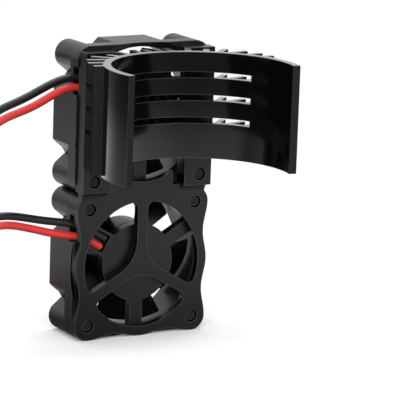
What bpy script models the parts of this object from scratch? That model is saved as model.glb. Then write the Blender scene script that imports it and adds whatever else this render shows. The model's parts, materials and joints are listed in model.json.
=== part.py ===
"""Twin-fan motor heat sink: a cradle that snaps round a 36 mm motor, cooled by two stacked 30 mm fans.

Lengths are millimetres in this file and become metres as each piece is made.
X runs to the right, Y to the rear and Z up; the lower fan stands on the floor at the origin.
"""
import math

import bmesh
import bpy
from mathutils import Matrix, Vector

METRE = 0.001

# fan
FAN_SIDE = 29.95
STACK_GAP = 0.05
FAN_PITCH = FAN_SIDE + STACK_GAP
FAN_DEPTH = 10.0
FAN_HALF = FAN_DEPTH / 2
SCREW_INSET = 2.975
SCREW_AT = FAN_SIDE / 2 - SCREW_INSET
CORNER_R = SCREW_INSET
FLANGE_DEEP = 3.0
SIDE_WALL = 0.975
BORE_R = FAN_SIDE / 2 - SIDE_WALL
DUCT_WALL = 0.7
DUCT_R = BORE_R + DUCT_WALL
FLARE_GROW = 1.8
FLARE_R = BORE_R + FLARE_GROW
FLARE_DEEP = 2.0
FLAT_HALF = 5.3
FLAT_CHAMFER = 1.2
NOTCH_STEP = 0.02
FAN_Z = {"lower": FAN_SIDE / 2, "upper": FAN_SIDE / 2 + FAN_PITCH}

# fan motor
RUN_FIT = 0.05
PRESS_FIT = 0.02
PART_GAP = 0.3
SHAFT_R = 0.7
BEARING_WALL = 0.95
TUBE_BORE_R = SHAFT_R + RUN_FIT + BEARING_WALL + RUN_FIT
TUBE_WALL = 0.75
TUBE_R = TUBE_BORE_R + TUBE_WALL
CUP_R = 7.9
CUP_WALL = 0.75
CUP_END = 1.0
CUP_EDGE = 0.5
MAGNET_THICK = 1.0
AIR_GAP = 0.5
MAGNET_R = CUP_R - CUP_WALL - RUN_FIT
STATOR_R = MAGNET_R - MAGNET_THICK - AIR_GAP
BOARD_R = MAGNET_R - AIR_GAP
BOARD_THICK = 0.8
POLE_WIDE = 1.4
POLE_COUNT = 4
POLE_TIP = 0.7
POLE_LONG = 1.3
COIL_BUILD = 0.8
COIL_GAP = 0.1
HUB_LIP = 0.1
HUB_R = CUP_R + HUB_LIP
HUB_INSET = 0.3
HUB_FRONT = -FAN_HALF + HUB_INSET
HUB_THICK = 2.0
HUB_BACK = HUB_FRONT + HUB_THICK
HUB_CLEAR = 0.6
CUP_FRONT = HUB_BACK + HUB_CLEAR
REAR_CLEAR = 0.7
CUP_BACK = FAN_HALF - REAR_CLEAR
CUP_FLOOR = CUP_BACK - CUP_END
TUBE_BACK = CUP_FLOOR - COIL_BUILD
BEARING_LONG = 1.8
STATOR_THICK = 2.0
STATOR_Y = TUBE_BACK - COIL_GAP - COIL_BUILD - STATOR_THICK
STRUT_WIDE = 2.8
STRUT_BURY = 1.6
STRUT_INSET = 0.175
STRUT_ANGLES = (30, 150, 270)
STRUT_ENDS = (BORE_R + STRUT_BURY, BORE_R + STRUT_BURY, FAN_SIDE / 2 - STRUT_INSET)
LEAD_STRUT = 150
LEAD_STRUT_WIDE = 4.8
CHANNEL_WIDE = 3.9
CHANNEL_DEEP = 1.75
CHANNEL_BACK = -FAN_HALF + CHANNEL_DEEP
EXIT_DROP = 1.8
EXIT_RISE = 2.8
BLADE_COUNT = 5
BLADE_START = 12.0
BLADE_GAP = 0.45
BLADE_R = BORE_R - BLADE_GAP
BLADE_INSET = 0.3
BLADE_FRONT = CUP_FRONT + BLADE_INSET
BLADE_BACK = CUP_BACK - BLADE_INSET
BLADE_SWEEP = 50.0
BLADE_THICK = 0.7

# heat sink
SEAT_GAP = 0.05
PLATE_THICK = 1.5
PLATE_BACK = -FAN_HALF - SEAT_GAP
PLATE_FRONT = PLATE_BACK - PLATE_THICK
PLATE_INSET = 0.025
WAVE_DEEP = 0.45
WAVE_MEAN = FAN_SIDE / 2 - PLATE_INSET - WAVE_DEEP
GUARD_LIP = 1.0
GUARD_R = BORE_R - GUARD_LIP
SPOKE_HALF = 1.15
SPOKE_FILLET = 7.2
RIM_FILLET = 1.3
FIRST_SPOKE = 90
LEDGE_RISE = 0.7
LEDGE_Z = FAN_SIDE + LEDGE_RISE
SIDE_INSET = 0.375
SIDE_X = FAN_SIDE / 2 - SIDE_INSET
SIDE_WIDE = 6.2
SIDE_INNER_X = SIDE_X - SIDE_WIDE
SIDE_STEP = 1.5
SIDE_FRONT = PLATE_FRONT - SIDE_STEP
SIDE_Y = (SIDE_FRONT + PLATE_BACK) / 2
SLIT_WIDE = 1.8
SLIT_RISE = 0.25
TONGUE_X = SIDE_INNER_X - SLIT_WIDE
TONGUE_TOP = FAN_Z["upper"] - math.sqrt(GUARD_R ** 2 - TONGUE_X ** 2) + 0.05
CRADLE_R = 18.0
CRADLE_WALL = 1.5
CRADLE_OUT_R = CRADLE_R + CRADLE_WALL
CRADLE_GAP = 3.1
CRADLE_Y = PLATE_FRONT - CRADLE_GAP - CRADLE_OUT_R
CRADLE_HALF = 104.0
CRADLE_HIGH = 21.5
TOP_DROP = 0.95
CRADLE_TOP = FAN_SIDE + FAN_PITCH - TOP_DROP
CRADLE_LOW = CRADLE_TOP - CRADLE_HIGH
SLOT_HIGH = 1.15
SLOT_STEP = 4.6
SLOT_COUNT = 3
SLOT_ANGLE = 61.4
SLOT_FRONT = CRADLE_Y + CRADLE_R * math.cos(math.radians(SLOT_ANGLE))
SLOT_BACK_GAP = 0.8
SLOT_BACK = SIDE_FRONT - SLOT_BACK_GAP
FIN_THICK = 1.2
FIN_ANGLES = (68.8, 59.9, 50.7, 40.1, 30.7)
FIN_REACH = (1.95, 2.9, 3.6, 4.0, 2.4)
FIN_TURN = (10, 12, 16, 44, 62)
WEB_THICK = 1.3
WEB_BITE = 1.6
WEB_BEND = 0.7
WEB_ANGLE = 20.0
MID_FIN_STEP = 2.4
MID_FIN_COUNT = 4

# fastenings
SCREW_R = 1.2
HOLE_R = 1.3
HEAD_R = 1.9
HEAD_HIGH = 1.3
HEAD_RECESS = 0.4
COUNTERBORE_R = HEAD_R + 0.2
COUNTERBORE_DEEP = HEAD_RECESS + HEAD_HIGH + SEAT_GAP
DRIVE_R = 0.75
DRIVE_DEEP = 0.8
TIP_RECESS = 0.35

# leads
WIRE_R = 0.8
WIRE_GAP = 0.3
WIRE_STEP = 2 * WIRE_R + WIRE_GAP
PLUG_WIDE = 6.0
PLUG_HIGH = 4.6
PLUG_LONG = 9.5
PLUG_CELL = 1.6
PLUG_GRIP = 3.0
CONTACT_WIDE = 1.0
CONTACT_LONG = 5.0

PART = bpy.data.collections.new("twin_fan_heat_sink")


def clear_scene():
    for thing in list(bpy.data.objects):
        bpy.data.objects.remove(thing, do_unlink=True)
    bpy.context.scene.collection.children.link(PART)


def circle(radius, count, centre=(0.0, 0.0), start=0.0, turn=360.0):
    """Points of a circle, or of an arc with both ends when the turn is not whole."""
    whole = abs(turn) >= 360
    steps = count if whole else count - 1
    angles = [math.radians(start + turn * i / steps) for i in range(count)]
    return [(centre[0] + radius * math.cos(a), centre[1] + radius * math.sin(a)) for a in angles]


def make(name, points, faces):
    """One closed body from points in millimetres."""
    mesh = bpy.data.meshes.new(name)
    mesh.from_pydata([Vector(p) * METRE for p in points], [], faces)
    shape = bmesh.new()
    shape.from_mesh(mesh)
    bmesh.ops.recalc_face_normals(shape, faces=shape.faces)
    shape.to_mesh(mesh)
    shape.free()
    piece = bpy.data.objects.new(name, mesh)
    PART.objects.link(piece)
    return piece


def upright(name, outline, low, high):
    """Prism of an (x, y) outline between two heights."""
    count = len(outline)
    points = [(x, y, low) for x, y in outline] + [(x, y, high) for x, y in outline]
    sides = [(i, (i + 1) % count, count + (i + 1) % count, count + i) for i in range(count)]
    return make(name, points, sides + [tuple(range(count)), tuple(range(count, 2 * count))])


def along(name, outline, front, back):
    """Prism of an (x, z) outline between two depths."""
    count = len(outline)
    points = [(x, front, z) for x, z in outline] + [(x, back, z) for x, z in outline]
    sides = [(i, (i + 1) % count, count + (i + 1) % count, count + i) for i in range(count)]
    return make(name, points, sides + [tuple(range(count)), tuple(range(count, 2 * count))])


def turned(name, profile, count, centre=(0.0, 0.0)):
    """Body of revolution about a Y line through (x, z); the profile is closed (radius, y) points."""
    points, rings, faces = [], [], []
    for radius, y in profile:
        if radius < 1e-6:
            rings.append([len(points)] * count)
            points.append((centre[0], y, centre[1]))
            continue
        rings.append(list(range(len(points), len(points) + count)))
        points += [(x, y, z) for x, z in circle(radius, count, centre)]
    for i, ring in enumerate(rings):
        after = rings[(i + 1) % len(rings)]
        for j in range(count):
            k = (j + 1) % count
            corners = list(dict.fromkeys((ring[j], ring[k], after[k], after[j])))
            if len(corners) > 2:
                faces.append(tuple(corners))
    return make(name, points, faces)


def sleeve(name, rings):
    """Ring-shaped body: closed outlines of equal point count joined in turn, the last to the first."""
    count = len(rings[0])
    points = [p for ring in rings for p in ring]
    faces = []
    for i in range(len(rings)):
        a, b = i * count, ((i + 1) % len(rings)) * count
        faces += [(a + j, a + (j + 1) % count, b + (j + 1) % count, b + j) for j in range(count)]
    return make(name, points, faces)


def shape_by(target, tool, operation):
    """Join a tool to a piece or cut it away, then drop the tool."""
    step = target.modifiers.new("shape", "BOOLEAN")
    step.operation = operation
    step.solver = "EXACT"
    step.object = tool
    bpy.context.view_layer.update()
    graph = bpy.context.evaluated_depsgraph_get()
    mesh = bpy.data.meshes.new_from_object(target.evaluated_get(graph))
    target.modifiers.clear()
    target.data = mesh
    bpy.data.objects.remove(tool, do_unlink=True)


def join(target, tool):
    shape_by(target, tool, "UNION")


def cut(target, tool):
    shape_by(target, tool, "DIFFERENCE")


def move(piece, matrix):
    piece.data.transform(matrix)
    return piece


def strip(line, thick):
    """Outline of a bent strip of even thickness about an (x, y) line."""
    left, right = [], []
    for i, point in enumerate(line):
        before = Vector(line[max(i - 1, 0)])
        after = Vector(line[min(i + 1, len(line) - 1)])
        run = (after - before).normalized()
        side = Vector((-run.y, run.x)) * thick / 2
        left.append(tuple(Vector(point) + side))
        right.append(tuple(Vector(point) - side))
    return left + right[::-1]


def mirrored(outline):
    return [(-x, y) for x, y in outline][::-1]


def wave_outline():
    """Plate edge that swells round the screws and at the middle of each side."""
    side = []
    steps = 24
    reach = SCREW_AT
    for i in range(steps + 1):
        x = -reach + 2 * reach * i / steps
        side.append((x, -(WAVE_MEAN + WAVE_DEEP * math.cos(math.pi * x / 6))))
    radius = WAVE_MEAN + WAVE_DEEP - SCREW_AT
    corner = circle(radius, 9, (SCREW_AT, -SCREW_AT), -90, 90)
    quarter = side + corner[1:-1]
    outline = []
    for turn in range(4):
        for x, z in quarter:
            for _ in range(turn):
                x, z = -z, x
            outline.append((x, z + FAN_Z["lower"]))
    return outline


def guard_opening(middle):
    """One of the three rounded openings, its bisector at the given angle."""
    rim_at = GUARD_R - RIM_FILLET
    reach = math.sqrt(rim_at ** 2 - (SPOKE_HALF + RIM_FILLET) ** 2)
    lean = math.radians(60)
    corner = Vector((math.cos(lean), math.sin(lean))) * reach
    corner += Vector((math.sin(lean), -math.cos(lean))) * (SPOKE_HALF + RIM_FILLET)
    rim_end = math.degrees(math.atan2(corner.y, corner.x))
    heart = (SPOKE_HALF + SPOKE_FILLET) / math.sin(lean)
    outline = circle(GUARD_R, 17, (0, 0), -rim_end, 2 * rim_end)
    outline += circle(RIM_FILLET, 5, corner, rim_end, 150 - rim_end)[1:]
    outline += circle(SPOKE_FILLET, 9, (heart, 0), 150, 60)
    outline += circle(RIM_FILLET, 5, (corner.x, -corner.y), 210, 150 - rim_end)[:-1]
    turn = math.radians(middle)
    swing = [(x * math.cos(turn) - z * math.sin(turn), x * math.sin(turn) + z * math.cos(turn)) for x, z in outline]
    return [(x, z + FAN_Z["lower"]) for x, z in swing]


def from_cradle(angle, radius):
    """Point at an angle from the middle of the cradle's back."""
    turn = math.radians(angle)
    return Vector((radius * math.sin(turn), CRADLE_Y + radius * math.cos(turn)))


def screw_places(fan):
    return [(sx * SCREW_AT, FAN_Z[fan] + sz * SCREW_AT) for sz in (-1, 1) for sx in (-1, 1)]


def heat_sink():
    """Cradle, fins, side flanges and lower guard plate in one moulding."""
    body = along("heat_sink_body", wave_outline(), PLATE_FRONT, PLATE_BACK)
    low, wide, shelf = FAN_SIDE - SCREW_INSET, SIDE_INNER_X + SEAT_GAP, LEDGE_Z + SLIT_RISE
    half = [(wide, low), (wide, shelf), (TONGUE_X, shelf), (TONGUE_X, TONGUE_TOP)]
    tongue = half + mirrored(half)
    join(body, along("tongue", tongue, PLATE_FRONT, PLATE_BACK))
    hollow = circle(GUARD_R, 60, (0, FAN_Z["upper"]))
    cut(body, along("hollow", hollow, PLATE_FRONT - 1, PLATE_BACK + 1))
    for middle in (FIRST_SPOKE - 60, FIRST_SPOKE + 60, FIRST_SPOKE + 180):
        cut(body, along("opening", guard_opening(middle), PLATE_FRONT - 1, PLATE_BACK + 1))

    outer = circle(CRADLE_OUT_R, 43, (0, CRADLE_Y), 90 - CRADLE_HALF, 2 * CRADLE_HALF)
    inner = circle(CRADLE_R, 43, (0, CRADLE_Y), 90 + CRADLE_HALF, -2 * CRADLE_HALF)
    cradle = upright("cradle", outer + inner, CRADLE_LOW, CRADLE_TOP)
    bury = CRADLE_R + CRADLE_WALL / 2
    for angle, grow, turn in zip(FIN_ANGLES, FIN_REACH, FIN_TURN):
        run = Vector((-math.cos(math.radians(turn)), -math.sin(math.radians(turn))))
        tip = from_cradle(angle, CRADLE_OUT_R + grow)
        root = tip.copy()
        while (root - Vector((0, CRADLE_Y))).length > bury:
            root = root + run * CRADLE_WALL / 20
        fin = strip([tuple(tip), tuple(root)], FIN_THICK)
        join(cradle, upright("fin", fin, CRADLE_LOW, CRADLE_TOP))
        join(cradle, upright("fin", mirrored(fin), CRADLE_LOW, CRADLE_TOP))
    for i in range(MID_FIN_COUNT):
        x = (i - (MID_FIN_COUNT - 1) / 2) * MID_FIN_STEP
        fin = strip([(x, PLATE_FRONT), (x, CRADLE_Y + math.sqrt(bury ** 2 - x ** 2))], FIN_THICK)
        join(cradle, upright("fin", fin, CRADLE_LOW, CRADLE_TOP))
    end = from_cradle(WEB_ANGLE, bury)
    start = Vector((SIDE_INNER_X + WEB_BITE, SIDE_Y))
    turn = Vector((SIDE_INNER_X + WEB_BEND / 2, SIDE_Y - WEB_BEND / 5))
    web = strip([tuple(start), tuple(turn), tuple(turn.lerp(end, 0.5)), tuple(end)], WEB_THICK)
    join(cradle, upright("web", web, CRADLE_LOW, CRADLE_TOP))
    join(cradle, upright("web", mirrored(web), CRADLE_LOW, CRADLE_TOP))
    for i in range(SLOT_COUNT):
        z = CRADLE_TOP - SLOT_STEP * (i + 1)
        reach = CRADLE_OUT_R + max(FIN_REACH)
        slot = [(-reach, SLOT_FRONT), (reach, SLOT_FRONT), (reach, SLOT_BACK), (-reach, SLOT_BACK)]
        cut(cradle, upright("slot", slot, z - SLOT_HIGH / 2, z + SLOT_HIGH / 2))

    for side in (-1, 1):
        edge = [(SIDE_INNER_X, SIDE_FRONT), (SIDE_X, SIDE_FRONT), (SIDE_X, PLATE_BACK), (SIDE_INNER_X, PLATE_BACK)]
        flange = upright("flange", edge if side > 0 else mirrored(edge), LEDGE_Z, CRADLE_TOP)
        join(body, flange)
        high = LEDGE_Z + SIDE_STEP
        run = [(PLATE_BACK, LEDGE_Z - SIDE_STEP), (PLATE_BACK, high), (SIDE_FRONT, high), (SIDE_FRONT, LEDGE_Z)]
        blend = run + [(y, z) for y, z in circle(SIDE_STEP, 6, (SIDE_FRONT, LEDGE_Z - SIDE_STEP), 90, -90)[1:]]
        points, faces = [], []
        for x in (side * SIDE_INNER_X, side * (WAVE_MEAN - WAVE_DEEP)):
            points += [(x, y, z) for y, z in blend]
        count = len(blend)
        faces = [tuple(range(count)), tuple(range(count, 2 * count))]
        faces += [(i, (i + 1) % count, count + (i + 1) % count, count + i) for i in range(count)]
        join(body, make("blend", points, faces))
    join(body, cradle)
    for fan in FAN_Z:
        for x, z in screw_places(fan):
            cut(body, turned("hole", [(0, SIDE_FRONT - 1), (HOLE_R, SIDE_FRONT - 1), (HOLE_R, 0), (0, 0)], 12, (x, z)))
    return body


def star(reach, angles):
    """Outline about the fan axis from a reach for each angle in degrees."""
    return [(reach(a) * math.cos(math.radians(a)), reach(a) * math.sin(math.radians(a))) for a in angles]


def even(count):
    return [360 * i / count for i in range(count)]


def fan_angles():
    """Angles that fall on the flats' ends and close together round the corner posts."""
    half = FAN_SIDE / 2
    flat = math.degrees(math.atan2(FLAT_HALF, half))
    chamfer = math.degrees(math.atan2(FLAT_HALF + FLAT_CHAMFER, half))
    post = 45 - math.degrees(math.asin(CORNER_R / (SCREW_AT * math.sqrt(2))))
    span = 45 - post
    ends = [flat / 2, flat, chamfer, (chamfer + post) / 2, post - span * 0.03, post + span * 0.04, post + span * 0.12]
    ends += [post + span * 0.28, post + span * 0.5, post + span * 0.75]
    quarter = [-45] + [-a for a in ends[::-1]] + [0] + ends
    return [side + a for side in (0, 90, 180, 270) for a in quarter]


def from_side(angle):
    """Angle in degrees from the middle of the nearest side."""
    return (angle + 45) % 90 - 45


def square_reach(angle):
    lean = math.radians(abs(from_side(angle)))
    half = FAN_SIDE / 2
    if half * math.tan(lean) <= SCREW_AT:
        return half / math.cos(lean)
    off = math.radians(45) - lean
    centre = SCREW_AT * math.sqrt(2)
    return centre * math.cos(off) + math.sqrt(CORNER_R ** 2 - (centre * math.sin(off)) ** 2)


def duct_reach(angle):
    """Round duct, four full-depth corner posts and a flat with chamfered ends on each side."""
    lean = math.radians(abs(from_side(angle)))
    half = FAN_SIDE / 2 - NOTCH_STEP
    reach = DUCT_R
    across = half * math.tan(lean)
    if across <= FLAT_HALF:
        reach = max(reach, half / math.cos(lean))
    elif across <= FLAT_HALF + FLAT_CHAMFER:
        reach = max(reach, (half + FLAT_HALF) / (math.cos(lean) + math.sin(lean)))
    off = math.radians(45) - lean
    centre = SCREW_AT * math.sqrt(2)
    post = CORNER_R - NOTCH_STEP
    if centre * abs(math.sin(off)) < post:
        reach = max(reach, centre * math.cos(off) + math.sqrt(post ** 2 - (centre * math.sin(off)) ** 2))
    return reach


def strut(angle, end):
    """Flat bar from inside the hub base out into the fan's wall."""
    half = (LEAD_STRUT_WIDE if angle == LEAD_STRUT else STRUT_WIDE) / 2
    bar = [(TUBE_R, -half), (end, -half), (end, half), (TUBE_R, half)]
    return move(along("strut", bar, HUB_FRONT, HUB_BACK), Matrix.Rotation(math.radians(-angle), 4, "Y"))


def fan_frame():
    """Square fan frame with its hub base, three struts and bearing tube."""
    step_y = -FAN_HALF + FLANGE_DEEP
    angles = fan_angles()
    square, notched = star(square_reach, angles), star(duct_reach, angles)
    bore = star(lambda a: BORE_R, angles)
    places = ((square, -FAN_HALF), (square, step_y), (notched, step_y), (notched, FAN_HALF),
              (bore, FAN_HALF), (bore, -FAN_HALF))
    frame = sleeve("fan_frame", [[(x, y, z) for x, z in ring] for ring, y in places])
    slope = (FLARE_R - BORE_R) / FLARE_DEEP
    front, deep = -FAN_HALF - 0.5, -FAN_HALF + FLARE_DEEP
    flare = [(0, front), (FLARE_R + slope * 0.5, front), (BORE_R - 0.2, deep + 0.2 / slope), (0, deep + 0.2 / slope)]
    cut(frame, turned("flare", flare, 72))
    hub = turned("hub", [(0, HUB_FRONT), (HUB_R, HUB_FRONT), (HUB_R, HUB_BACK), (0, HUB_BACK)], 48)
    for angle, end in zip(STRUT_ANGLES, STRUT_ENDS):
        join(hub, strut(angle, end))
    tube = [(TUBE_BORE_R, HUB_BACK - HUB_INSET), (TUBE_R, HUB_BACK - HUB_INSET), (TUBE_R, TUBE_BACK),
            (TUBE_BORE_R, TUBE_BACK)]
    join(hub, turned("tube", tube, 28))
    join(frame, hub)
    half = CHANNEL_WIDE / 2
    inner = HUB_R + PART_GAP
    channel = [(inner, -half), (FAN_SIDE, -half), (FAN_SIDE, half), (inner, half)]
    swing = Matrix.Rotation(math.radians(-LEAD_STRUT), 4, "Y")
    cut(frame, move(along("channel", channel, -FAN_HALF - 1, CHANNEL_BACK), swing))
    exit_z = BORE_R * math.sin(math.radians(LEAD_STRUT))
    exit_x = BORE_R * math.cos(math.radians(LEAD_STRUT))
    low = (-FAN_SIDE, -FAN_HALF - 1, exit_z - EXIT_DROP)
    cut(frame, box("exit", low, (exit_x, CHANNEL_BACK, exit_z + EXIT_RISE)))
    head_seat = FAN_HALF - COUNTERBORE_DEEP
    for sx in (-1, 1):
        for sz in (-1, 1):
            hole = [(0, -FAN_HALF - 1), (HOLE_R, -FAN_HALF - 1), (HOLE_R, head_seat), (COUNTERBORE_R, head_seat),
                    (COUNTERBORE_R, FAN_HALF + 1), (0, FAN_HALF + 1)]
            cut(frame, turned("hole", hole, 12, (sx * SCREW_AT, sz * SCREW_AT)))
    return frame


def blade(turn):
    """Pitched blade: thin sections at rising radius, each swept back round the axis."""
    rows = []
    steps = 6
    radii = [CUP_R - CUP_WALL / 2 + (BLADE_R - CUP_R + CUP_WALL / 2) * i / 2 for i in range(3)]
    for radius in radii:
        front, back = [], []
        for i in range(steps + 1):
            part = i / steps
            y = BLADE_FRONT + (BLADE_BACK - BLADE_FRONT) * part
            sweep = turn - BLADE_SWEEP * (part ** 0.85)
            half = math.degrees(BLADE_THICK / 2 / radius)
            for row, edge in ((front, half), (back, -half)):
                a = math.radians(sweep + edge)
                row.append((radius * math.cos(a), y, radius * math.sin(a)))
        rows.append(front + back[::-1])
    count = len(rows[0])
    points = [p for row in rows for p in row]
    faces = [tuple(range(count)), tuple(range((len(rows) - 1) * count, len(rows) * count))]
    for i in range(len(rows) - 1):
        a, b = i * count, (i + 1) * count
        faces += [(a + j, a + (j + 1) % count, b + (j + 1) % count, b + j) for j in range(count)]
    return make("blade", points, faces)


def rotor():
    inner = CUP_R - CUP_WALL
    bore = SHAFT_R + PRESS_FIT
    cup = [(inner, CUP_FRONT), (CUP_R, CUP_FRONT), (CUP_R, CUP_BACK - CUP_EDGE), (CUP_R - CUP_EDGE, CUP_BACK),
           (bore, CUP_BACK), (bore, CUP_FLOOR), (inner, CUP_FLOOR)]
    wheel = turned("rotor", cup, 36)
    for i in range(BLADE_COUNT):
        join(wheel, blade(360 * i / BLADE_COUNT + BLADE_START))
    return wheel


def ring(name, inner, outer, front, back, count=28):
    return turned(name, [(inner, front), (outer, front), (outer, back), (inner, back)], count)


def stator():
    """Round core with four flared poles."""
    core = STATOR_R - POLE_TIP - POLE_LONG
    tip = math.degrees(math.asin((POLE_WIDE / 2 + POLE_LONG) / STATOR_R))

    def reach(angle):
        off = (angle + 45) % (360 / POLE_COUNT) - 45
        if abs(off) <= tip:
            return STATOR_R
        return core
    outer = star(reach, even(40))
    bore = star(lambda a: TUBE_R + RUN_FIT, even(40))
    back = STATOR_Y + STATOR_THICK
    rings = [(outer, STATOR_Y), (outer, back), (bore, back), (bore, STATOR_Y)]
    piece = sleeve("stator_core", [[(x, y, z) for x, z in line] for line, y in rings])
    for i in range(POLE_COUNT):
        spin = Matrix.Rotation(math.radians(-90 * i), 4, "Y")
        for side in (-1, 1):
            low, high = side * POLE_WIDE / 2, side * STATOR_R / 2
            inner, outer = core + COIL_GAP, STATOR_R - POLE_TIP
            gap = [(inner, low), (outer, low), (outer, high), (inner, high)]
            cut(piece, move(along("gap", gap, STATOR_Y - 1, back + 1), spin))
    return piece


def coil(index):
    """Flat coil wound round one pole."""
    outside = STATOR_R - POLE_TIP - COIL_GAP
    inside = outside - POLE_LONG + 3 * COIL_GAP
    low, high = STATOR_Y, STATOR_Y + STATOR_THICK
    loops = []
    for grow, x in ((RUN_FIT, inside), (COIL_BUILD, inside), (COIL_BUILD, outside), (RUN_FIT, outside)):
        half = POLE_WIDE / 2 + grow
        loops.append([(x, low - grow, -half), (x, high + grow, -half), (x, high + grow, half), (x, low - grow, half)])
    piece = sleeve("coil", loops)
    return move(piece, Matrix.Rotation(math.radians(-90 * index), 4, "Y"))


def screw(length):
    """Pan-head screw with its head at the rear and a round drive recess."""
    head_back = FAN_HALF - HEAD_RECESS
    head_front = head_back - HEAD_HIGH
    tip = head_back - length
    profile = [(0, tip), (SCREW_R - 0.25, tip), (SCREW_R, tip + 0.25), (SCREW_R, head_front), (HEAD_R, head_front),
               (HEAD_R, head_back - 0.4), (HEAD_R - 0.4, head_back), (DRIVE_R, head_back),
               (DRIVE_R, head_back - DRIVE_DEEP), (0, head_back - DRIVE_DEEP)]
    return turned("screw", profile, 12)


def smooth(controls, steps=2):
    """Rounded path through control points."""
    path = []
    for i in range(len(controls) - 1):
        before = Vector(controls[max(i - 1, 0)])
        start, end = Vector(controls[i]), Vector(controls[i + 1])
        after = Vector(controls[min(i + 2, len(controls) - 1)])
        for j in range(steps):
            t = j / steps
            path.append(0.5 * ((2 * start) + (end - before) * t + (2 * before - 5 * start + 4 * end - after) * t * t
                               + (3 * start - before - 3 * end + after) * t ** 3))
    path.append(Vector(controls[-1]))
    return path


def wire(name, controls):
    """Round lead along a path, closed at both ends."""
    path = smooth(controls)
    count = 6
    points, faces = [], []
    side = None
    for i, point in enumerate(path):
        run = (path[min(i + 1, len(path) - 1)] - path[max(i - 1, 0)]).normalized()
        if side is None:
            side = run.orthogonal().normalized()
        side = (side - run * side.dot(run)).normalized()
        other = run.cross(side)
        for a in range(count):
            turn = 2 * math.pi * a / count
            points.append(tuple(point + (side * math.cos(turn) + other * math.sin(turn)) * WIRE_R))
    for i in range(len(path) - 1):
        a, b = i * count, (i + 1) * count
        faces += [(a + j, a + (j + 1) % count, b + (j + 1) % count, b + j) for j in range(count)]
    faces += [tuple(range(count)), tuple(range((len(path) - 1) * count, len(path) * count))]
    return make(name, points, faces)


def box(name, low, high):
    outline = [(low[0], low[1]), (high[0], low[1]), (high[0], high[1]), (low[0], high[1])]
    return upright(name, outline, low[2], high[2])


def plug(name):
    """Two-cell lead plug; the wires come in along +Y and the open cells face -Y."""
    body = box(name, (-PLUG_WIDE / 2, -PLUG_LONG, 0), (PLUG_WIDE / 2, 0, PLUG_HIGH))
    middle = PLUG_HIGH / 2
    for side in (-1, 1):
        x = side * WIRE_STEP / 2
        half = PLUG_CELL / 2
        cell = box("cell", (x - half, -PLUG_LONG - 1, middle - half), (x + half, 1, middle + half))
        cut(body, cell)
    return body


def fan_set(fan):
    """All the pieces of one fan, shifted to its height."""
    up = Matrix.Translation(Vector((0, 0, FAN_Z[fan])) * METRE)
    bearing_in, bearing_out = SHAFT_R + RUN_FIT, TUBE_BORE_R - RUN_FIT
    shaft_front, shaft_back = HUB_BACK + RUN_FIT, CUP_BACK - RUN_FIT
    pieces = {
        "fan_frame": fan_frame(),
        "rotor": rotor(),
        "rotor_shaft": turned("shaft", [(0, shaft_front), (SHAFT_R, shaft_front), (SHAFT_R, shaft_back),
                                        (0, shaft_back)], 16),
        "magnet_ring": ring("magnet", MAGNET_R - MAGNET_THICK, MAGNET_R, STATOR_Y - AIR_GAP, CUP_FLOOR - RUN_FIT, 32),
        "front_bearing": ring("bearing", bearing_in, bearing_out, HUB_BACK + RUN_FIT,
                              HUB_BACK + RUN_FIT + BEARING_LONG),
        "rear_bearing": ring("bearing", bearing_in, bearing_out, TUBE_BACK - BEARING_LONG, TUBE_BACK),
        "circuit_board": ring("board", TUBE_R + RUN_FIT, BOARD_R, HUB_BACK + PART_GAP,
                              HUB_BACK + PART_GAP + BOARD_THICK),
        "stator_core": stator(),
    }
    for i in range(POLE_COUNT):
        pieces["coil_%d" % (i + 1)] = coil(i)
    for label, piece in pieces.items():
        piece.name = fan + "_" + label
        piece.data.name = piece.name
        move(piece, up)


def fan_screws(fan):
    """Four screws; those in the side flanges are longer than those in the thin plate."""
    names = ("bottom_left", "bottom_right", "top_left", "top_right")
    front = PLATE_FRONT if fan == "lower" else SIDE_FRONT
    length = FAN_HALF - HEAD_RECESS - (front + TIP_RECESS)
    for label, (x, z) in zip(names, screw_places(fan)):
        piece = screw(length)
        piece.name = "%s_screw_%s" % (fan, label)
        move(piece, Matrix.Translation(Vector((x, 0, z)) * METRE))


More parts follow.
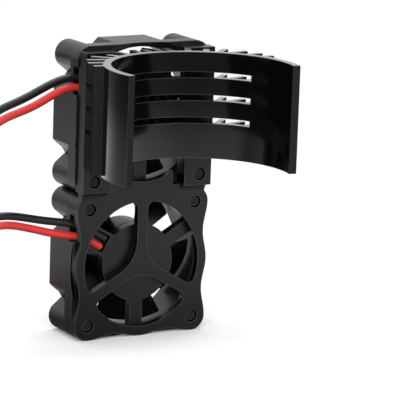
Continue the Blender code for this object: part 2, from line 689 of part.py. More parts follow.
LEAD_Y = -4.15
LEAD_PATHS = {
    "upper": {
        "red": ((-8.4, LEAD_Y, 48.7), (-10.7, LEAD_Y, 50.1), (-13.0, LEAD_Y, 51.4), (-16.0, LEAD_Y, 52.0),
                (-19.8, LEAD_Y, 50.5), (-23.8, LEAD_Y, 48.3), (-27.8, -4.1, 47.1), (-31.6, -3.9, 45.8),
                (-35.6, -3.4, 42.2), (-39.2, -2.4, 35.3), (-41.6, -0.8, 26.0), (-43.4, 1.8, 16.2), (-45.0, 5.4, 8.2),
                (-46.5, 10.0, 3.9), (-47.8, 15.0, 2.5), (-48.6, 19.5, 2.3), (-48.9, 24.0, 2.3)),
        "black": ((-7.4, LEAD_Y, 50.3), (-9.7, LEAD_Y, 51.7), (-12.1, LEAD_Y, 53.1), (-15.4, LEAD_Y, 53.9),
                  (-19.0, LEAD_Y, 53.2), (-22.8, LEAD_Y, 51.5), (-26.6, -4.1, 49.7), (-30.2, -4.0, 48.6),
                  (-33.4, -3.8, 46.9), (-37.6, -3.2, 43.0), (-41.2, -2.2, 35.9), (-43.6, -0.5, 26.2),
                  (-45.4, 2.3, 16.6), (-46.9, 6.0, 8.8), (-48.4, 10.4, 4.3), (-49.7, 15.0, 2.7), (-50.5, 19.5, 2.3),
                  (-50.8, 24.0, 2.3)),
    },
    "lower": {
        "red": ((-8.4, LEAD_Y, 18.7), (-10.7, LEAD_Y, 20.1), (-13.0, LEAD_Y, 21.2), (-16.4, LEAD_Y, 21.7),
                (-20.3, LEAD_Y, 22.6), (-25.6, LEAD_Y, 24.2), (-30.6, -3.9, 25.2), (-34.4, -2.8, 23.4),
                (-36.8, 0.0, 18.2), (-37.2, 4.6, 10.8), (-36.2, 9.4, 5.2), (-34.9, 14.4, 2.8), (-33.5, 19.2, 2.3),
                (-32.9, 24.0, 2.3)),
        "black": ((-7.4, LEAD_Y, 20.3), (-9.7, LEAD_Y, 21.7), (-12.1, LEAD_Y, 23.1), (-15.8, LEAD_Y, 24.3),
                  (-20.4, LEAD_Y, 24.9), (-25.6, LEAD_Y, 26.1), (-31.0, -3.9, 27.1), (-35.8, -2.4, 25.0),
                  (-38.6, 0.5, 19.0), (-39.1, 5.0, 11.4), (-38.1, 9.8, 5.8), (-36.8, 14.6, 3.0), (-35.4, 19.2, 2.3),
                  (-34.8, 24.0, 2.3)),
    },
}
PLUG_PLACES = {"upper": ((-49.85, 24.0), 180), "lower": ((-33.85, 24.0), 180)}


def lead_set(fan):
    """Red and black lead of one fan with the plug and contacts at their free ends."""
    (px, py), turn = PLUG_PLACES[fan]
    forward = -1 if turn == 0 else 1
    grip_y = py + forward * (PLUG_GRIP - 0.4)
    for colour, controls in LEAD_PATHS[fan].items():
        end = controls[-1]
        wire("%s_lead_%s" % (fan, colour), controls + ((end[0], grip_y, end[2]),))
    place = Matrix.Translation(Vector((px, py, 0)) * METRE) @ Matrix.Rotation(math.radians(turn), 4, "Z")
    move(plug("%s_lead_plug" % fan), place)
    middle = PLUG_HIGH / 2
    half = CONTACT_WIDE / 2
    for side, label in ((-1, "left"), (1, "right")):
        x = side * WIRE_STEP / 2
        back = -PLUG_GRIP + 0.2
        piece = box("%s_contact_%s" % (fan, label), (x - half, back - CONTACT_LONG, middle - half),
                    (x + half, back, middle + half))
        move(piece, place)


def build():
    clear_scene()
    heat_sink()
    for fan in FAN_Z:
        fan_set(fan)
        fan_screws(fan)
        lead_set(fan)


build()
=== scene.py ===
"""Twin-fan motor heat sink, seen from the front left on white paper."""
import json
import math

import bmesh
import bpy
from mathutils import Matrix, Vector


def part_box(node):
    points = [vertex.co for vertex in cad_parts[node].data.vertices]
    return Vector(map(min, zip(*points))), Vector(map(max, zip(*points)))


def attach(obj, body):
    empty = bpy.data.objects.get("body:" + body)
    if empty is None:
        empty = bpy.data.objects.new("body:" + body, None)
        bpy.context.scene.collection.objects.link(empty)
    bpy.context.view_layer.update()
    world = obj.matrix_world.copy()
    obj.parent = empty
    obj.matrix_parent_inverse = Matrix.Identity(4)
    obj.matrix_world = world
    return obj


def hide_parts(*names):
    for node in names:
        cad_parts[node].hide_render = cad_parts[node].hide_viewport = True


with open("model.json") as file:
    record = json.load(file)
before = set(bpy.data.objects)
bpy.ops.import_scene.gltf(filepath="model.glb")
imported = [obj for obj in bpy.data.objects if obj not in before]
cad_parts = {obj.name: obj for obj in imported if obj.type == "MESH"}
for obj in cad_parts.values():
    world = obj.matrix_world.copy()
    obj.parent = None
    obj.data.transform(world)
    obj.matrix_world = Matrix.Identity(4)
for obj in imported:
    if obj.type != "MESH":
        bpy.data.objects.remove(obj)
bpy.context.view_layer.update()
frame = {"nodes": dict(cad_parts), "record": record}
NODES = frame["nodes"]
MM = 0.001
FANS = ("upper", "lower")
SCENE = bpy.context.scene

# camera, in millimetres, degrees and pixels of a square picture
CAMERA_TARGET = Vector((0, -6.5, 30))
CAMERA_AZIMUTH = -28.87
CAMERA_ELEVATION = 11.86
CAMERA_ROLL = 1.74
CAMERA_DISTANCE = 588.35
PICTURE_PIXELS = 416
FOCAL_PIXELS = 2920.0
TARGET_PIXEL = (143.68, 191.16)
SENSOR = 36.0
CLIP_START = 0.01
RENDER_PIXELS = 1024
RENDER_SAMPLES = 128

# brightness of the surroundings, and the headings between which it changes
FRONT_LIGHT = 0.54
RIGHT_LIGHT = 0.74
BACK_LIGHT = 0.96
LEFT_SHARE = 0.34
TOP_LIGHT = 0.9
RIGHT_TURN = (-0.10, 0.50)
BACK_TURN = (-0.50, 0.60)
AHEAD_TURN = (-0.12, -0.42)
LEFT_TURN = (-0.85, -0.15)
TOP_TURN = (0.25, 0.80)

# lamps: place, aim and size in metres, and power
TOP_PANEL = ((0.02, 0.16, 0.62), (0, -0.01, 0.03), (0.60, 0.16), 1.5)
FRONT_PANEL = ((-0.35, -0.55, 0.45), (-0.01, -0.01, 0.03), (0.50, 0.50), 4.6)

# white paper under the unit, in metres
PAPER_GLOW = 1.03
PAPER_SHARE = 0.12
PAPER_SHADE = 0.78
PAPER_HALF = 3.0
FOOT_HALF = (0.0150, 0.0060, 0.0)
SHADOW_REACH = 0.021
# painted shadow near the foot and painted dimming far off, in the paper's glow as seen in reflections
NEAR_PAPER = (0.020, 0.085)
NEAR_PAINTED_SHADOW = 0.38
FAR_PAPER = (0.200, 0.290)
FAR_PAINTED_LIGHT = (1.25, 0.20)

# finish of the black heat sink: satin plate, polished cradle, and matte side fins and cradle ends whose
# lighter grey is painted light, picked by the way the faces point
POLISH_BACK = -8.3
POLISH_FRONT = -9.6
POLISH_ROUGH = 0.12
POLISH_COAT = 0.30
CRADLE_Y = -29.15
TIP_REACH = 19.7
TIP_FACING = 0.45
TIP_AHEAD = -0.9
TIP_BACK = -8.2
TIP_FRONT = -24.4
LIMB_END = -33.0
# grey of the matte fin and cradle ends, set lighter than the sink's black as painted light
MATTE_PAINTED_GREY = 0.020

# tone, grain, and wear with a painted highlight on sharp edges, of every finish
TONE_SCALE = 90.0
TONE_DETAIL = 3.0
TONE_RANGE = (0.30, 0.72)
ROUGH_SPREAD = 0.07
GRAIN_DETAIL = 4.0
GRAIN_ROUGH = 0.6
GRAIN_DEPTH = 0.05
COAT_ROUGH = 0.12
# paler grey on sharp edges: wear, and a painted edge highlight
WORN_AND_SHEEN_GREY = 0.22
WORN_AND_SHEEN_RADIUS = 0.35
WORN_AND_SHEEN_SAMPLES = 4
WORN_AND_SHEEN_TURN = (0.98, 0.80)

# rounded edges, in millimetres
EDGES = {"heat_sink_body": 0.22, "fan_frame": 0.18, "rotor": 0.10, "lead_plug": 0.30}
EDGE_ANGLE = 24.0
EDGE_STEPS = 3
EVEN_WEIGHT = 90
WELD = 0.002

# small blocks on the plate and on the fan frames, each by its two corners
BLOCK_EDGE = 0.1
BLOCK_STEPS = 2
SLIT_ROOT = ((-8.5, -6.5, 30.5), (-6.5, -5.1, 32.3))
DUCT_LIPS = (((-15.0, -5.1, 40.6), (-14.1, -3.3, 49.4)), ((-14.8, -5.1, 14.0), (-13.9, -3.3, 20.4)))

# fan screws, in millimetres
HEAD_R = 1.9
HEAD_HIGH = 1.3
SHANK_R = 1.02
THREAD_R = 1.2
THREAD_PITCH = 0.5
THREAD_START = 0.7
THREAD_STOP = 0.5
END_NARROW = 0.08
END_LONG = 0.5
SCREW_SIDES = 32

# domed rim of a screw head, by its steps inward and below the top, and its recess
HEAD_DOME = ((0.0, 0.55), (0.12, 0.28), (0.38, 0.09))
FLAT_SHARE = 1.45
PATCH_HALF = 0.98
PATCH_SQUARES = 5
CROSS_REACH = 0.84
CROSS_HALF = 0.26
CROSS_DEEP = 0.7
CROSS_TAPER = 0.06
CROSS_LINES = ((0.2, CROSS_HALF), (0.6, CROSS_REACH), (1.0, PATCH_HALF))
LINE_NEAR = 0.05

# plug shell
RIB_WIDE = 0.7
RIB_HIGH = 0.45
RIB_INSET = 1.0
RIB_FRONT = 1.2
RIB_BACK = 2.6
RIB_ROOT = 0.2
RIDGE_COUNT = 3
RIDGE_STEP = 0.62
RIDGE_BACK = 0.55
RIDGE_INSET = 0.6
RIDGE_WIDE = 0.3
RIDGE_HIGH = 0.18
RAIL_PROUD = 0.22
RAIL_FRONT = 2.4
RAIL_BACK = 1.6
RAIL_INSET = 1.2

# leads
LEAD_Y = -4.15
WIRE_R = 0.8
LEAD_GRIP = 2.6
LEAD_STEPS = 8
LEAD_ROUND = 6
LEAD_PATHS = {
    "upper": {
        "red": ((-8.4, LEAD_Y, 48.7), (-10.7, LEAD_Y, 50.1), (-13.0, LEAD_Y, 51.4), (-16.0, LEAD_Y, 52.0),
                (-19.8, LEAD_Y, 50.5), (-23.8, LEAD_Y, 48.3), (-27.8, -4.1, 47.1), (-31.6, -3.9, 45.8),
                (-35.6, -3.4, 42.2), (-39.2, -2.4, 35.3), (-41.6, -0.8, 26.0), (-43.4, 1.8, 16.2),
                (-45.0, 5.4, 8.2), (-46.5, 10.0, 3.9), (-47.8, 15.0, 2.5), (-48.6, 19.5, 2.3),
                (-48.9, 24.0, 2.3)),
        "black": ((-7.4, LEAD_Y, 50.3), (-9.7, LEAD_Y, 51.7), (-12.1, LEAD_Y, 53.1), (-15.4, LEAD_Y, 53.9),
                  (-19.0, LEAD_Y, 53.2), (-22.8, LEAD_Y, 51.5), (-26.6, -4.1, 49.7), (-30.2, -4.0, 48.6),
                  (-33.4, -3.8, 46.9), (-37.6, -3.2, 43.0), (-41.2, -2.2, 35.9), (-43.6, -0.5, 26.2),
                  (-45.4, 2.3, 16.6), (-46.9, 6.0, 8.8), (-48.4, 10.4, 4.3), (-49.7, 15.0, 2.7),
                  (-50.5, 19.5, 2.3), (-50.8, 24.0, 2.3)),
    },
    "lower": {
        "red": ((-8.4, LEAD_Y, 18.7), (-10.7, LEAD_Y, 20.1), (-13.0, LEAD_Y, 21.2), (-16.4, LEAD_Y, 21.7),
                (-20.3, LEAD_Y, 22.6), (-25.6, LEAD_Y, 24.2), (-30.6, -3.9, 25.2), (-34.4, -2.8, 23.4),
                (-36.8, 0.0, 18.2), (-37.2, 4.6, 10.8), (-36.2, 9.4, 5.2), (-34.9, 14.4, 2.8),
                (-33.5, 19.2, 2.3), (-32.9, 24.0, 2.3)),
        "black": ((-7.4, LEAD_Y, 20.3), (-9.7, LEAD_Y, 21.7), (-12.1, LEAD_Y, 23.1), (-15.8, LEAD_Y, 24.3),
                  (-20.4, LEAD_Y, 24.9), (-25.6, LEAD_Y, 26.1), (-31.0, -3.9, 27.1), (-35.8, -2.4, 25.0),
                  (-38.6, 0.5, 19.0), (-39.1, 5.0, 11.4), (-38.1, 9.8, 5.8), (-36.8, 14.6, 3.0),
                  (-35.4, 19.2, 2.3), (-34.8, 24.0, 2.3)),
    },
}


class Value:
    """One socket of a shader tree that can be reckoned with."""

    def __init__(self, shades, socket):
        self.shades = shades
        self.socket = socket

    def reckon(self, operation, first, second=0.0):
        return self.shades.add("ShaderNodeMath", {"operation": operation}, {0: first, 1: second})

    def __add__(self, other):
        return self.reckon("ADD", self, other)

    def __mul__(self, other):
        return self.reckon("MULTIPLY", self, other)

    def __gt__(self, other):
        return self.reckon("GREATER_THAN", self, other)

    def __lt__(self, other):
        return self.reckon("LESS_THAN", self, other)

    def __abs__(self):
        return self.reckon("ABSOLUTE", self)

    def most(self, other):
        return self.reckon("MAXIMUM", self, other)

    __radd__ = __add__
    __rmul__ = __mul__


class Shades:
    """Nodes of one material or of the surroundings."""

    def __init__(self, tree):
        self.tree = tree

    def add(self, kind, settings=None, sockets=None, out=0):
        made = self.tree.nodes.new(kind)
        settings = dict(settings or {})
        for stop, colour in enumerate(settings.pop("stops", ())):
            made.color_ramp.elements[stop].color = colour
        for key, value in settings.items():
            setattr(made, key, value)
        self.fill(made, sockets or {})
        return Value(self, made.outputs[out]) if len(made.outputs) else made

    def fill(self, made, sockets):
        for key, value in sockets.items():
            if isinstance(value, Value):
                self.tree.links.new(value.socket, made.inputs[key])
            else:
                made.inputs[key].default_value = value

    def parts(self, vector):
        made = self.add("ShaderNodeSeparateXYZ", None, {"Vector": vector})
        return [Value(self, socket) for socket in made.socket.node.outputs]

    def slope(self, value, start, end, low=0.0, high=1.0, soft=False):
        kind = {"interpolation_type": "SMOOTHSTEP" if soft else "LINEAR"}
        return self.add("ShaderNodeMapRange", kind, {"Value": value, "From Min": start, "From Max": end,
                                                     "To Min": low, "To Max": high})

    def blend(self, share, first, second):
        return self.add("ShaderNodeMix", {"data_type": "FLOAT"}, {"Factor": share, "A": first, "B": second})


def grey(level):
    return (level, level, level, 1)


def worn_and_sheen_edges(shades, colour, share):
    """Paler colour where an edge is sharp: wear, and a painted highlight along the edge."""
    rounded = shades.add("ShaderNodeBevel", {"samples": WORN_AND_SHEEN_SAMPLES}, {"Radius": WORN_AND_SHEEN_RADIUS * MM})
    flat = shades.add("ShaderNodeNewGeometry", out="Normal")
    turn = shades.add("ShaderNodeVectorMath", {"operation": "DOT_PRODUCT"}, {0: rounded, 1: flat}, "Value")
    wear_and_sheen = shades.slope(turn, *WORN_AND_SHEEN_TURN, 0.0, share)
    return shades.add("ShaderNodeMix", {"data_type": "RGBA"},
                      {"Factor": wear_and_sheen, "A": colour, "B": grey(WORN_AND_SHEEN_GREY)}, "Result")


def matte_painted_light_mask(shades, place):
    """One on the ends and front faces of the side fins and on the cradle's two ends, nought elsewhere:
    faces picked by the way they point, which get a matte finish in a lighter grey that is painted light.
    """
    depth = shades.parts(place)[1]
    flat = shades.add("ShaderNodeVectorMath", {"operation": "MULTIPLY_ADD"},
                      {0: place, 1: (1, 1, 0), 2: (0, -CRADLE_Y * MM, 0)})
    reach = shades.add("ShaderNodeVectorMath", {"operation": "LENGTH"}, {0: flat}, "Value")
    sideways, onward, _ = shades.parts(shades.add("ShaderNodeNewGeometry", out="True Normal"))
    onward = onward < TIP_AHEAD
    between = (depth < TIP_BACK * MM) * (depth > TIP_FRONT * MM)
    fins = (reach > TIP_REACH * MM) * ((abs(sideways) > TIP_FACING) + onward) * between
    return fins + onward * (depth < LIMB_END * MM)


def finish(name, colour, rough, spread=0.12, grain=900.0, bump=0.06, metal=0.0, coat=0.0, wear_and_sheen=0.0,
           shine=0.5, sink=False):
    """Surface with fine grain, slow changes of tone and gloss, and paler edges that stand for wear and a
    painted highlight.
    """
    made = bpy.data.materials.new(name)
    made.use_nodes = True
    shades = Shades(made.node_tree)
    shader = made.node_tree.nodes["Principled BSDF"]
    place = shades.add("ShaderNodeTexCoord", out="Object")
    slow = shades.add("ShaderNodeTexNoise", None,
                      {"Vector": place, "Scale": TONE_SCALE, "Detail": TONE_DETAIL})
    fine = shades.add("ShaderNodeTexNoise", None, {"Vector": place, "Scale": grain, "Detail": GRAIN_DETAIL,
                                                   "Roughness": GRAIN_ROUGH})
    tones = [(*[min(1.0, c * share) for c in colour], 1) for share in (1 - spread, 1 + spread)]
    tint = shades.add("ShaderNodeValToRGB", {"stops": tones}, {"Fac": shades.slope(slow, *TONE_RANGE)})
    if wear_and_sheen:
        tint = worn_and_sheen_edges(shades, tint, wear_and_sheen)
    gloss = rough - ROUGH_SPREAD + 2 * ROUGH_SPREAD * slow
    if sink:
        ahead = shades.slope(shades.parts(place)[1], POLISH_BACK * MM, POLISH_FRONT * MM)
        gloss = shades.blend(ahead, gloss, POLISH_ROUGH)
        coat = POLISH_COAT * ahead
    relief = shades.add("ShaderNodeBump", None,
                        {"Strength": bump, "Distance": GRAIN_DEPTH * MM, "Height": fine})
    shades.fill(shader, {"Base Color": tint, "Roughness": gloss, "Normal": relief, "Metallic": metal,
                         "Specular IOR Level": shine, "Coat Weight": coat, "Coat Roughness": COAT_ROUGH})
    if sink:
        # matte grey on the masked faces, lighter than the sink's black: painted light
        matte_painted_light = shades.add("ShaderNodeBsdfPrincipled", None,
                          {"Base Color": grey(MATTE_PAINTED_GREY), "Roughness": 1.0, "Specular IOR Level": 0.0})
        body = Value(shades, shader.outputs["BSDF"])
        both = shades.add("ShaderNodeMixShader", None, {0: matte_painted_light_mask(shades, place), 1: body, 2: matte_painted_light})
        shades.fill(made.node_tree.nodes["Material Output"], {"Surface": both})
    return made


FINISHES = {
    "sink_black": finish("sink_black", (0.0016, 0.0016, 0.0017), 0.32, bump=0.04, wear_and_sheen=0.30, sink=True),
    "fan_black": finish("fan_black", (0.0045, 0.0045, 0.0048), 0.36, grain=1100, bump=0.10, wear_and_sheen=0.26),
    "rotor_black": finish("rotor_black", (0.0030, 0.0030, 0.0032), 0.32, grain=600, bump=0.05, shine=0.20),
    "steel": finish("steel", (0.56, 0.56, 0.57), 0.28, metal=1.0, grain=1500),
    "bearing_brass": finish("bearing_brass", (0.66, 0.47, 0.20), 0.34, metal=1.0, grain=1200),
    "magnet_grey": finish("magnet_grey", (0.08, 0.08, 0.085), 0.70, bump=0.15),
    "winding_copper": finish("winding_copper", (0.62, 0.27, 0.11), 0.26, metal=1.0, grain=2500, bump=0.30),
    "board_green": finish("board_green", (0.02, 0.13, 0.05), 0.38, coat=0.4),
    "screw_black": finish("screw_black", (0.010, 0.010, 0.011), 0.50, grain=1600, bump=0.10, wear_and_sheen=0.30,
                          shine=0.25),
    "lead_red": finish("lead_red", (0.66, 0.035, 0.032), 0.28, bump=0.05),
    "lead_black": finish("lead_black", (0.009, 0.009, 0.010), 0.28, bump=0.05),
    "plug_red": finish("plug_red", (0.46, 0.016, 0.018), 0.30, grain=800, bump=0.05, wear_and_sheen=0.10),
    "contact_tin": finish("contact_tin", (0.62, 0.58, 0.48), 0.30, metal=1.0, grain=1500),
}


def dress(piece, surface):
    piece.data.materials.clear()
    piece.data.materials.append(FINISHES[surface])


def soften(piece, width, steps):
    """Small rounded edges, or crisp ones without a width, and smooth curved faces."""
    piece.data.polygons.foreach_set("use_smooth", [True] * len(piece.data.polygons))
    angle = math.radians(EDGE_ANGLE)
    if not width:
        piece.data.set_sharp_from_angle(angle=angle)
        return
    edge = piece.modifiers.new("edge", "BEVEL")
    edge.width = width * MM
    edge.segments = steps
    edge.limit_method = "ANGLE"
    edge.angle_limit = angle
    edge.use_clamp_overlap = True
    even = piece.modifiers.new("even", "WEIGHTED_NORMAL")
    even.weight = EVEN_WEIGHT


def new_piece(name, shell, surface, width, body="body", steps=EDGE_STEPS):
    """Piece that moves with a body, with a finish and rounded edges."""
    mesh = bpy.data.meshes.new(name)
    shell.to_mesh(mesh)
    shell.free()
    piece = bpy.data.objects.new(name, mesh)
    SCENE.collection.objects.link(piece)
    dress(piece, surface)
    soften(piece, width, steps)
    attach(piece, body)
    return piece


def refined(name, surface, width):
    """The solid's own shape with its facets joined, its edges rounded and its curved faces smooth."""
    shell = bmesh.new()
    shell.from_mesh(NODES[name].data)
    bmesh.ops.remove_doubles(shell, verts=shell.verts, dist=WELD * MM)
    body = "body"
    if name.endswith("_rotor"):
        body = name + "_body"
    piece = new_piece(name + "_surface", shell, surface, width, body)
    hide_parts(name)
    return piece


for entry in frame["record"]["subparts"]:
    node_name, node_slot = entry["node"], entry["material_slot"]
    kind = next((key for key in EDGES if node_name.endswith(key)), None)
    if kind:
        refined(node_name, node_slot, EDGES[kind])
    else:
        dress(NODES[node_name], node_slot)


def node_box(name):
    """Corners of a solid in millimetres."""
    return [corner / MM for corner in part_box(name)]


def screw_profile(tip, head_back):
    """Half outline from the tip, along the thread and up over the domed head."""
    head_front = head_back - HEAD_HIGH
    outline = [(0, tip), (SHANK_R - END_NARROW, tip), (SHANK_R, tip + END_LONG)]
    y = tip + THREAD_START
    while y + THREAD_PITCH < head_front - THREAD_STOP:
        outline += [(THREAD_R, y), (SHANK_R, y + THREAD_PITCH / 2)]
        y += THREAD_PITCH
    outline += [(SHANK_R, head_front), (HEAD_R, head_front)]
    outline += [(HEAD_R - inward, head_back - below) for inward, below in HEAD_DOME]
    return outline + [(PATCH_HALF * FLAT_SHARE, head_back)]


def cross_recess(shell, head_back):
    """Square patch in the head with a plus-shaped recess pressed into it."""
    made = bmesh.ops.create_grid(shell, x_segments=PATCH_SQUARES, y_segments=PATCH_SQUARES, size=1.0)
    patch = made["verts"]
    for axis in (0, 1):
        for line, place in CROSS_LINES:
            chosen = [vert for vert in patch if abs(abs(vert.co[axis]) - line) < LINE_NEAR]
            size = Vector((1, 1, 1))
            size[axis] = place / line
            bmesh.ops.scale(shell, verts=chosen, vec=size)
    upright = Matrix.Rotation(math.radians(-90), 3, "X")
    bmesh.ops.rotate(shell, verts=patch, cent=(0, 0, 0), matrix=upright)
    bmesh.ops.translate(shell, verts=patch, vec=(0, head_back, 0))
    plus = []
    for face in {face for vert in patch for face in vert.link_faces}:
        near, far = sorted(abs(face.calc_center_median()[axis]) for axis in (0, 2))
        if near < CROSS_HALF and far < CROSS_REACH:
            plus.append(face)
    bmesh.ops.inset_region(shell, faces=plus, thickness=CROSS_TAPER, depth=-CROSS_DEEP,
                           use_even_offset=True)


def screw(name):
    """Pan-head fan screw with a cross recess and a thread."""
    low, high = node_box(name)
    shell = bmesh.new()
    outline = [shell.verts.new((radius, y, 0)) for radius, y in screw_profile(low.y, high.y)]
    edges = [shell.edges.new(pair) for pair in zip(outline, outline[1:])]
    bmesh.ops.spin(shell, geom=outline + edges, cent=(0, 0, 0), axis=(0, 1, 0), angle=2 * math.pi,
                   steps=SCREW_SIDES, use_merge=True)
    bmesh.ops.remove_doubles(shell, verts=shell.verts, dist=WELD)
    cross_recess(shell, high.y)
    rims = [edge for edge in shell.edges if edge.is_boundary]
    bmesh.ops.triangle_fill(shell, use_beauty=True, edges=rims, normal=(0, 1, 0))
    bmesh.ops.recalc_face_normals(shell, faces=shell.faces)
    middle = (low + high) / 2
    bmesh.ops.translate(shell, verts=shell.verts, vec=(middle.x, 0, middle.z))
    bmesh.ops.scale(shell, verts=shell.verts, vec=(MM, MM, MM))
    piece = new_piece(name + "_threaded", shell, "screw_black", 0.0)
    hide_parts(name)


for node_name in [key for key in NODES if "_screw_" in key]:
    screw(node_name)


def blocks(name, boxes, surface):
    """One piece from several plain blocks, each given by its two corners."""
    shell = bmesh.new()
    for low, high in boxes:
        low, high = Vector(low) * MM, Vector(high) * MM
        verts = bmesh.ops.create_cube(shell, size=1.0)["verts"]
        bmesh.ops.scale(shell, verts=verts, vec=high - low)
        bmesh.ops.translate(shell, verts=verts, vec=(low + high) / 2)
    return new_piece(name, shell, surface, BLOCK_EDGE, steps=BLOCK_STEPS)


def plug_ribs(fan):
    """Two guide ribs and three finger ridges on top of a plug, and a rail on each side."""
    low, high = node_box(fan + "_lead_plug")
    base = high.z - RIB_ROOT
    boxes = []
    for x in (low.x + RIB_INSET, high.x - RIB_INSET - RIB_WIDE):
        boxes.append(((x, low.y + RIB_FRONT, base), (x + RIB_WIDE, high.y - RIB_BACK, high.z + RIB_HIGH)))
    for y in (high.y - RIDGE_BACK - i * RIDGE_STEP for i in range(RIDGE_COUNT)):
        boxes.append(((low.x + RIDGE_INSET, y, base),
                      (high.x - RIDGE_INSET, y + RIDGE_WIDE, high.z + RIDGE_HIGH)))
    for x in (low.x, high.x):
        boxes.append(((x - RAIL_PROUD, low.y + RAIL_FRONT, low.z + RAIL_INSET),
                      (x + RAIL_PROUD, high.y - RAIL_BACK, high.z - RAIL_INSET)))
    return blocks(fan + "_plug_ribs", boxes, "plug_red")


RIBS = {fan: plug_ribs(fan) for fan in FANS}
blocks("slit_root", [SLIT_ROOT], "sink_black")
blocks("duct_lips", DUCT_LIPS, "fan_black")


def soft_path(controls):
    """Smooth path that starts and ends on its first and last control point."""
    points = [Vector(c) for c in controls]
    points = [2 * points[0] - points[1]] + points + [2 * points[-1] - points[-2]]
    path = []
    for a, b, c, d in zip(points, points[1:], points[2:], points[3:]):
        for t in (j / LEAD_STEPS for j in range(LEAD_STEPS)):
            path.append(((1 - t) ** 3 * a + (3 * t ** 3 - 6 * t * t + 4) * b
                         + (3 * t * (1 + t - t * t) + 1) * c + t ** 3 * d) / 6)
    return path + [points[-2]]


def lead(fan, colour):
    """Insulated wire from the fan's hub to its plug."""
    controls = LEAD_PATHS[fan][colour]
    end = Vector(controls[-1]) + Vector((0, LEAD_GRIP, 0))
    path = [p * MM for p in soft_path(controls + (tuple(end),))]
    name = "%s_%s_wire" % (fan, colour)
    line = bpy.data.curves.new(name, "CURVE")
    line.dimensions = "3D"
    line.bevel_depth = WIRE_R * MM
    line.bevel_resolution = LEAD_ROUND
    line.use_fill_caps = True
    spline = line.splines.new("POLY")
    spline.points.add(len(path) - 1)
    for point, place in zip(spline.points, path):
        point.co = (*place, 1)
    spline.use_smooth = True
    wire = bpy.data.objects.new(name, line)
    wire.visible_glossy = False
    SCENE.collection.objects.link(wire)
    line.materials.append(FINISHES["lead_" + colour])
    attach(wire, "body")
    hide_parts("%s_lead_%s" % (fan, colour))
    length = sum((b - a).length for a, b in zip(path, path[1:]))


for fan_name in FANS:
    lead(fan_name, "red")
    lead(fan_name, "black")


def set_camera():
    """Camera at the photographed angle, turned so that the unit sits left of the middle."""
    a, e, r = (math.radians(v) for v in (CAMERA_AZIMUTH, CAMERA_ELEVATION, CAMERA_ROLL))
    back = Vector((math.sin(a) * math.cos(e), -math.cos(a) * math.cos(e), math.sin(e)))
    right = Vector((math.cos(a), math.sin(a), 0))
    up = back.cross(right)
    right, up = right * math.cos(r) + up * math.sin(r), up * math.cos(r) - right * math.sin(r)
    across = (TARGET_PIXEL[0] - PICTURE_PIXELS / 2) / FOCAL_PIXELS
    rise = (PICTURE_PIXELS / 2 - TARGET_PIXEL[1]) / FOCAL_PIXELS
    z_axis = (back + right * across + up * rise).normalized()
    x_axis = (right - z_axis * right.dot(z_axis)).normalized()
    turn = Matrix((x_axis, z_axis.cross(x_axis), z_axis)).transposed().to_4x4()
    lens = bpy.data.cameras.new("camera")
    lens.sensor_width = SENSOR
    lens.lens = FOCAL_PIXELS / PICTURE_PIXELS * SENSOR
    lens.clip_start = CLIP_START
    view = bpy.data.objects.new("camera", lens)
    view.matrix_world = Matrix.Translation((CAMERA_TARGET + back * CAMERA_DISTANCE) * MM) @ turn
    SCENE.collection.objects.link(view)
    SCENE.camera = view


def surroundings(shades, heading):
    """Brightness for each heading: white behind and above, grey in front, dark at the far left."""
    x, y, z = shades.parts(heading)
    front = shades.slope(x, *RIGHT_TURN, FRONT_LIGHT, RIGHT_LIGHT, soft=True)
    depth = shades.blend(shades.slope(y, *BACK_TURN, soft=True), front, BACK_LIGHT)
    ahead = shades.slope(y, *AHEAD_TURN, LEFT_SHARE, 1.0, soft=True)
    side = shades.slope(x, *LEFT_TURN, LEFT_SHARE, 1.0, soft=True).most(ahead)
    above = shades.slope(z, *TOP_TURN, 0.0, TOP_LIGHT, soft=True)
    return (depth * side).most(above)


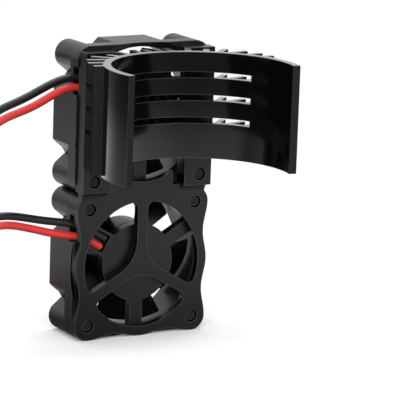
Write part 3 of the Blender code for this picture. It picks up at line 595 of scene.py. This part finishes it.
def set_ground():
    """White paper with a faint contact shadow; in reflections it is painted light, glowing as bright as the
    surroundings there, with a painted shadow near the foot and painted dimming far off.
    """
    shell = bmesh.new()
    bmesh.ops.create_grid(shell, x_segments=1, y_segments=1, size=PAPER_HALF)
    mesh = bpy.data.meshes.new("ground")
    shell.to_mesh(mesh)
    shell.free()
    ground = bpy.data.objects.new("ground", mesh)
    SCENE.collection.objects.link(ground)
    paper = bpy.data.materials.new("ground_paper")
    paper.use_nodes = True
    paper.node_tree.nodes.clear()
    shades = Shades(paper.node_tree)
    place = shades.add("ShaderNodeTexCoord", out="Object")
    outward = shades.add("ShaderNodeVectorMath", {"operation": "ABSOLUTE"}, {0: place})
    past = shades.add("ShaderNodeVectorMath", {"operation": "SUBTRACT"}, {0: outward, 1: FOOT_HALF})
    outside = shades.add("ShaderNodeVectorMath", {"operation": "MAXIMUM"}, {0: past, 1: (0, 0, 0)})
    reach = shades.add("ShaderNodeVectorMath", {"operation": "LENGTH"}, {0: outside}, "Value")
    share = shades.slope(reach, 0.0, SHADOW_REACH, PAPER_SHARE, 1.0, soft=True)
    cloth = shades.add("ShaderNodeBsdfDiffuse", None, {"Color": grey(PAPER_SHADE)})
    glow = shades.add("ShaderNodeEmission", None, {"Strength": PAPER_GLOW})
    seen = shades.add("ShaderNodeMixShader", None, {0: share, 1: cloth, 2: glow})
    heading = shades.add("ShaderNodeVectorMath", {"operation": "NORMALIZE"}, {0: place})
    distance = shades.add("ShaderNodeVectorMath", {"operation": "LENGTH"}, {0: place}, "Value")
    # painted shadow around the foot and painted dimming far off, in the paper's reflected glow
    painted_contact_shadow = shades.slope(distance, *NEAR_PAPER, NEAR_PAINTED_SHADOW, 1.0, soft=True)
    painted_far_dimming = shades.slope(distance, *FAR_PAPER, *FAR_PAINTED_LIGHT, soft=True)
    level = surroundings(shades, heading) * painted_contact_shadow * painted_far_dimming
    mirrored = shades.add("ShaderNodeEmission", None, {"Strength": level})
    direct = shades.add("ShaderNodeLightPath", out="Is Camera Ray")
    either = shades.add("ShaderNodeMixShader", None, {0: direct, 1: mirrored, 2: seen})
    shades.add("ShaderNodeOutputMaterial", None, {"Surface": either})
    mesh.materials.append(paper)


def panel(name, place, aim, size, power, mirrored=True):
    """Rectangular lamp that faces a point."""
    lamp = bpy.data.lights.new(name, "AREA")
    lamp.shape = "RECTANGLE"
    lamp.size, lamp.size_y = size
    lamp.energy = power
    holder = bpy.data.objects.new(name, lamp)
    holder.location = place
    holder.rotation_euler = (Vector(aim) - Vector(place)).to_track_quat("-Z", "Y").to_euler()
    holder.visible_glossy = mirrored
    SCENE.collection.objects.link(holder)


def set_light():
    """White surroundings that are bright behind and above and dimmer at the camera's side."""
    world = bpy.data.worlds.new("studio")
    SCENE.world = world
    world.use_nodes = True
    shades = Shades(world.node_tree)
    direct = shades.add("ShaderNodeLightPath", out="Is Camera Ray")
    heading = shades.add("ShaderNodeTexCoord", out="Generated")
    level = shades.blend(direct, surroundings(shades, heading), 1.0)
    shades.fill(world.node_tree.nodes["Background"], {"Color": grey(1.0), "Strength": level})
    panel("top_panel", *TOP_PANEL)
    panel("front_panel", *FRONT_PANEL, mirrored=False)


set_camera()
set_ground()
set_light()
SCENE.render.engine = "CYCLES"
SCENE.render.resolution_x = RENDER_PIXELS
SCENE.render.resolution_y = RENDER_PIXELS
SCENE.cycles.samples = RENDER_SAMPLES
SCENE.view_settings.view_transform = "Standard"
